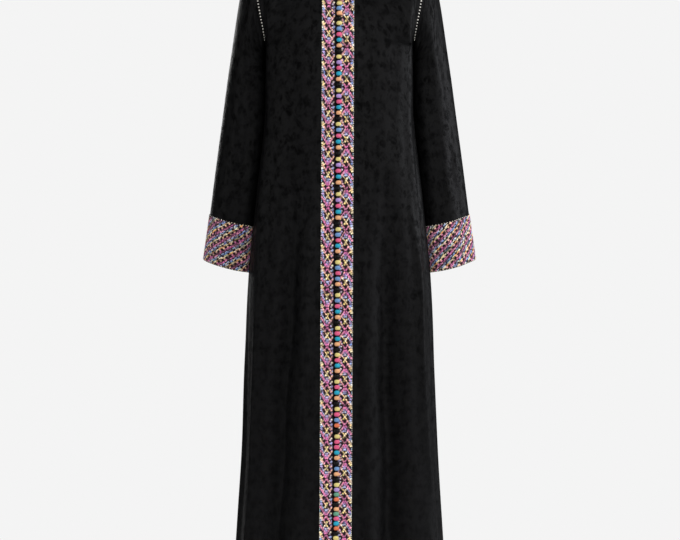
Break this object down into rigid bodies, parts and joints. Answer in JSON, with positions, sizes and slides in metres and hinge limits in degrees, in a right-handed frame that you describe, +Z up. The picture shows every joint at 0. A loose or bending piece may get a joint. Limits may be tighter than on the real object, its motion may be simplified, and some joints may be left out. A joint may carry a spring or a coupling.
{
  "type": "kaftan dress",
  "caption": "Floor-length kaftan dress with long straight sleeves, hollow and filled out as worn, with a buttoned front opening, woven bands down it and deep woven cuffs.",
  "frame": {"origin": "between the wearer's shoulders, at the height where the shoulder seams meet the neck, which is where the wearer holds it up", "axes": "+Z up, the front faces -Y, the wearer's left is +X"},
  "size_m": [0.6092, 0.3565, 1.43],
  "materials": {
    "jacquard": "matt-satin",
    "woven_trim": "satin",
    "button_thread": "satin"
  },
  "bodies": {
    "root": {"back": "jacquard", "front_left": "jacquard", "sleeve_left": "jacquard", "cuff_left": "woven_trim", "front_trim_left": "woven_trim", "front_right": "jacquard", "sleeve_right": "jacquard", "cuff_right": "woven_trim", "front_trim_right": "woven_trim", "buttons_01": "button_thread", "buttons_02": "button_thread", "buttons_03": "button_thread", "buttons_04": "button_thread", "buttons_05": "button_thread", "buttons_06": "button_thread", "buttons_07": "button_thread", "buttons_08": "button_thread", "buttons_09": "button_thread", "buttons_10": "button_thread", "buttons_11": "button_thread", "buttons_12": "button_thread", "buttons_13": "button_thread", "buttons_14": "button_thread"}
  },
  "joints": []
}
